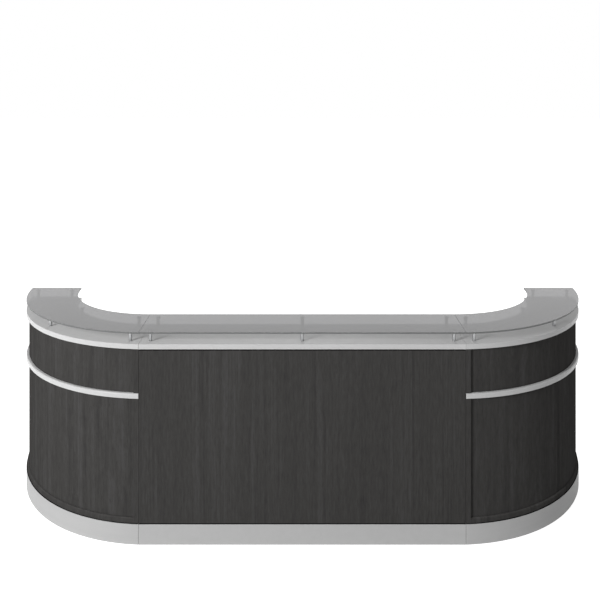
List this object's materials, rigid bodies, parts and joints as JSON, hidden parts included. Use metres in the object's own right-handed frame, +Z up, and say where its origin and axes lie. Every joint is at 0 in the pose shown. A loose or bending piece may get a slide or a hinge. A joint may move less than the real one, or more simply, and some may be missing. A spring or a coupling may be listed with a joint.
{
  "type": "reception desk",
  "caption": "Reception desk with a straight middle and quarter-round ends, dark panels, silver plinth, white counter and a glass shelf on short posts.",
  "frame": {"origin": "on the floor, at the middle of the desk's footprint", "axes": "+X along the desk to the visitor's right, the visitors' side faces -Y, +Z up"},
  "size_m": [3.2, 0.8, 1.04],
  "materials": {
    "dark_laminate": "matt woodgrain laminate on board, fine vertical grain",
    "white_laminate": "satin white laminate on board with matching edge band",
    "silver_laminate": "satin silver metallic laminate on board",
    "grey_glass": "grey tinted toughened glass with polished edges",
    "satin_steel": "satin stainless steel",
    "zinc_steel": "zinc plated",
    "grey_steel": "silver grey powder coat, fine texture",
    "black_plastic": "moulded, fine matt texture",
    "foot_plastic": "nylon foot on a zinc plated screw"
  },
  "bodies": {
    "desk": {"centre_plinth": "silver_laminate", "front_rail": "dark_laminate", "centre_fascia": "dark_laminate", "centre_gable_left": "dark_laminate", "centre_gable_right": "dark_laminate", "centre_worktop": "white_laminate", "centre_upper_side_left": "dark_laminate", "centre_upper_side_right": "dark_laminate", "centre_upper_divider": "dark_laminate", "centre_counter": "white_laminate", "centre_glass": "grey_glass", "cable_tray": "grey_steel", "plinth_left": "silver_laminate", "base_board_left": "dark_laminate", "lower_fascia_left": "dark_laminate", "seam_gable_left": "dark_laminate", "end_gable_left": "dark_laminate", "worktop_left": "white_laminate", "upper_fascia_left": "dark_laminate", "upper_seam_side_left": "dark_laminate", "upper_end_side_left": "dark_laminate", "counter_left": "white_laminate", "glass_left": "grey_glass", "plinth_right": "silver_laminate", "base_board_right": "dark_laminate", "lower_fascia_right": "dark_laminate", "seam_gable_right": "dark_laminate", "end_gable_right": "dark_laminate", "worktop_right": "white_laminate", "upper_fascia_right": "dark_laminate", "upper_seam_side_right": "dark_laminate", "upper_end_side_right": "dark_laminate", "counter_right": "white_laminate", "glass_right": "grey_glass", "glass_posts_left": "satin_steel", "glass_pads_left": "satin_steel", "glass_posts_centre": "satin_steel", "glass_pads_centre": "satin_steel", "glass_posts_right": "satin_steel", "glass_pads_right": "satin_steel", "connector_bolts_left": "zinc_steel", "connector_bolts_right": "zinc_steel", "support_brackets": "zinc_steel", "foot_sleeves": "zinc_steel", "port_rings": "black_plastic"},
    "foot_centre_left_front": {"foot_centre_left_front": "foot_plastic"},
    "foot_centre_left_back": {"foot_centre_left_back": "foot_plastic"},
    "foot_seam_left_front": {"foot_seam_left_front": "foot_plastic"},
    "foot_seam_left_back": {"foot_seam_left_back": "foot_plastic"},
    "foot_end_left_inner": {"foot_end_left_inner": "foot_plastic"},
    "foot_end_left_outer": {"foot_end_left_outer": "foot_plastic"},
    "foot_centre_right_front": {"foot_centre_right_front": "foot_plastic"},
    "foot_centre_right_back": {"foot_centre_right_back": "foot_plastic"},
    "foot_seam_right_front": {"foot_seam_right_front": "foot_plastic"},
    "foot_seam_right_back": {"foot_seam_right_back": "foot_plastic"},
    "foot_end_right_inner": {"foot_end_right_inner": "foot_plastic"},
    "foot_end_right_outer": {"foot_end_right_outer": "foot_plastic"},
    "port_cap_left": {"port_cap_left": "black_plastic"},
    "port_cap_right": {"port_cap_right": "black_plastic"}
  },
  "joints": [
    {"name": "foot_centre_left_front_height", "type": "slide", "parent": "desk", "child": "foot_centre_left_front", "axis": [0, 0, -1], "range_m": [0, 0.015]},
    {"name": "foot_centre_left_back_height", "type": "slide", "parent": "desk", "child": "foot_centre_left_back", "axis": [0, 0, -1], "range_m": [0, 0.015]},
    {"name": "foot_seam_left_front_height", "type": "slide", "parent": "desk", "child": "foot_seam_left_front", "axis": [0, 0, -1], "range_m": [0, 0.015]},
    {"name": "foot_seam_left_back_height", "type": "slide", "parent": "desk", "child": "foot_seam_left_back", "axis": [0, 0, -1], "range_m": [0, 0.015]},
    {"name": "foot_end_left_inner_height", "type": "slide", "parent": "desk", "child": "foot_end_left_inner", "axis": [0, 0, -1], "range_m": [0, 0.015]},
    {"name": "foot_end_left_outer_height", "type": "slide", "parent": "desk", "child": "foot_end_left_outer", "axis": [0, 0, -1], "range_m": [0, 0.015]},
    {"name": "foot_centre_right_front_height", "type": "slide", "parent": "desk", "child": "foot_centre_right_front", "axis": [0, 0, -1], "range_m": [0, 0.015]},
    {"name": "foot_centre_right_back_height", "type": "slide", "parent": "desk", "child": "foot_centre_right_back", "axis": [0, 0, -1], "range_m": [0, 0.015]},
    {"name": "foot_seam_right_front_height", "type": "slide", "parent": "desk", "child": "foot_seam_right_front", "axis": [0, 0, -1], "range_m": [0, 0.015]},
    {"name": "foot_seam_right_back_height", "type": "slide", "parent": "desk", "child": "foot_seam_right_back", "axis": [0, 0, -1], "range_m": [0, 0.015]},
    {"name": "foot_end_right_inner_height", "type": "slide", "parent": "desk", "child": "foot_end_right_inner", "axis": [0, 0, -1], "range_m": [0, 0.015]},
    {"name": "foot_end_right_outer_height", "type": "slide", "parent": "desk", "child": "foot_end_right_outer", "axis": [0, 0, -1], "range_m": [0, 0.015]},
    {"name": "port_cap_left_turn", "type": "hinge", "parent": "desk", "child": "port_cap_left", "pos_m": [-0.43, -0.272, 0.74], "axis": [0, 0, 1], "continuous": true},
    {"name": "port_cap_right_turn", "type": "hinge", "parent": "desk", "child": "port_cap_right", "pos_m": [0.43, -0.272, 0.74], "axis": [0, 0, 1], "continuous": true}
  ]
}
